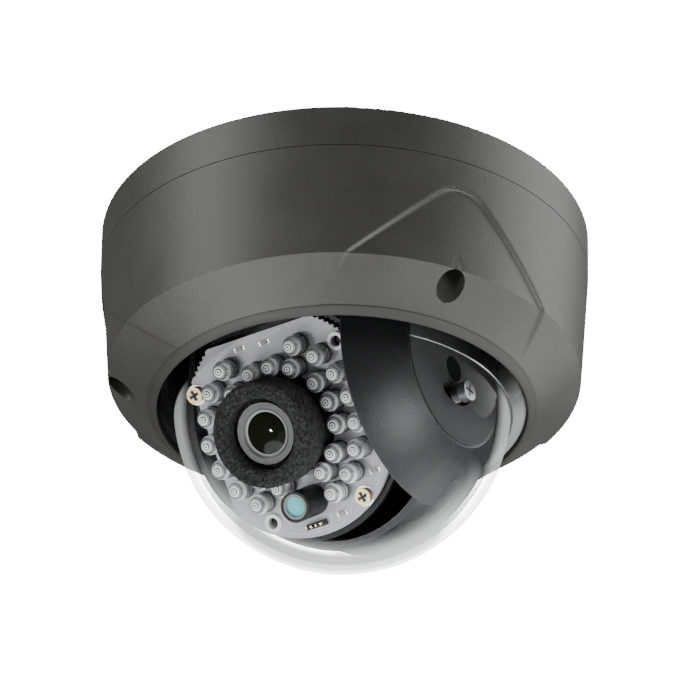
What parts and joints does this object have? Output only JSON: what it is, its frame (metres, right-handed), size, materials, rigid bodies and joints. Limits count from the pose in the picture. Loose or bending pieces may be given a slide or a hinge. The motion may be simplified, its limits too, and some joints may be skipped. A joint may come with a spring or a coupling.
{
  "type": "dome cctv camera",
  "caption": "Round ceiling dome security camera with a clear bubble, infrared lamps and a lens on a pan, tilt and turn bracket.",
  "frame": {"origin": "centre of the base's back face, the face that lies against the ceiling", "axes": "+Z out of the back face towards the ceiling, the bubble hangs towards -Z; +X to the right of a viewer standing on the -Y side and looking up at the stored view"},
  "size_m": [0.111, 0.111, 0.0824],
  "materials": {
    "grey_paint": "fine textured powder paint",
    "black_rubber": "matt",
    "green_board": "solder mask",
    "black_chip": "matt",
    "sensor_glass": "polished",
    "white_plastic": "satin",
    "zinc_steel": "zinc plated",
    "dark_steel": "blackened",
    "gold_screw": "yellow passivated",
    "black_plastic": "satin",
    "dark_plastic": "satin",
    "liner_black": "fine satin",
    "clear_dome": "clear, polished",
    "silver_board": "silver grey mask",
    "led_clear": "clear resin",
    "grey_plastic": "satin",
    "cyan_glass": "coated glass",
    "grey_metal": "anodised",
    "lens_glass": "coated",
    "black_foam": "open-cell foam, grainy"
  },
  "bodies": {
    "root": {"mounting_base": "grey_paint", "base_seal": "black_rubber", "cable_grommet": "black_rubber", "main_board": "green_board", "board_chips": "black_chip", "board_connectors": "white_plastic", "board_screws": "zinc_steel", "pan_base": "black_plastic", "pan_base_screws": "zinc_steel", "pan_retainer": "black_plastic", "hub_screws": "zinc_steel"},
    "cover": {"dome_cover": "grey_paint", "cover_screws": "dark_steel", "screw_seals": "black_rubber", "dome_bubble": "clear_dome", "bubble_gasket": "black_rubber", "bubble_retainer": "black_plastic", "retainer_screws": "zinc_steel"},
    "pan": {"turntable": "black_plastic", "yoke": "dark_plastic", "yoke_screws": "zinc_steel", "liner": "liner_black"},
    "tilt": {"chassis": "black_plastic", "chin": "liner_black", "lamp_board": "silver_board", "lamp_board_screws": "gold_screw", "hole_collars": "white_plastic", "infrared_leds": "led_clear", "board_chip_parts": "black_chip", "header_base": "black_plastic", "header_pins": "gold_screw", "sensor_tube": "black_plastic", "sensor_rim": "grey_plastic", "sensor_window": "cyan_glass", "tilt_lock_screws": "dark_steel"},
    "lens": {"lens_holder": "black_plastic", "turn_ring": "black_plastic", "lens_barrel": "grey_metal", "front_lens": "lens_glass", "rear_lens": "lens_glass", "foam_ring": "black_foam", "sensor_board": "green_board", "image_sensor": "sensor_glass", "infrared_filter": "sensor_glass", "sensor_connector": "white_plastic", "sensor_screws": "zinc_steel"}
  },
  "joints": [
    {"name": "cover_removal", "type": "slide", "parent": "root", "child": "cover", "axis": [0, 0, -1], "range_m": [0, 0.07]},
    {"name": "pan_turn", "type": "hinge", "parent": "root", "child": "pan", "pos_m": [0, 0, 0], "axis": [0, 0, 1], "range_deg": [-177.5, 177.5]},
    {"name": "tilt", "type": "hinge", "parent": "pan", "child": "tilt", "pos_m": [0, 0, -0.0444], "axis": [0.829, -0.5592, 0], "range_deg": [-22, 53]},
    {"name": "lens_turn", "type": "hinge", "parent": "tilt", "child": "lens", "pos_m": [-0.00456, 0.00308, -0.0444], "axis": [-0.4466, -0.6621, -0.6018], "range_deg": [-177.5, 177.5]}
  ]
}
